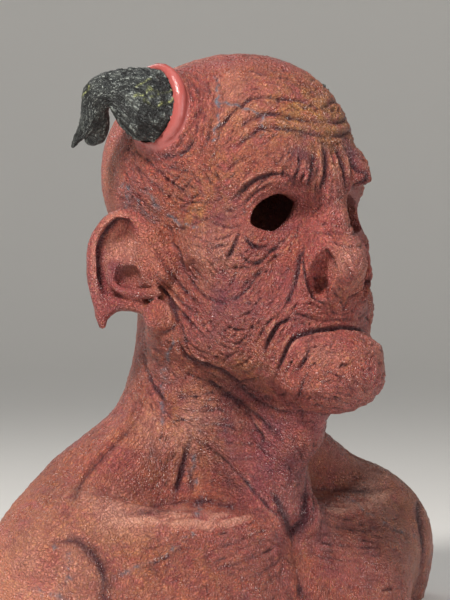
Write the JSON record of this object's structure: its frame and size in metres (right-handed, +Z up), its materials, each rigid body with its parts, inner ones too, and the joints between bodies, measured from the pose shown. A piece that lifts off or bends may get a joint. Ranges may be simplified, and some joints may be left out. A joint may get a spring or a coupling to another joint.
{
  "type": "devil mask",
  "caption": "Hollow full-head devil mask with neck and shoulders, wrinkled skin, an underbite and a bent horn at each temple, cut flat below.",
  "frame": {"origin": "centre of the bounding box on the floor: under the middle of the flat lower rim, z = 0 at the rim", "axes": "+Z up, the face looks along -Y, +X is the mask's own left, so its right side is at -X"},
  "size_m": [0.4277, 0.2493, 0.4187],
  "materials": {
    "silicone_skin": "satin",
    "horn_resin": "matte"
  },
  "bodies": {
    "root": {"mask_skin": "silicone_skin", "horn_right": "horn_resin", "horn_left": "horn_resin"}
  },
  "joints": []
}
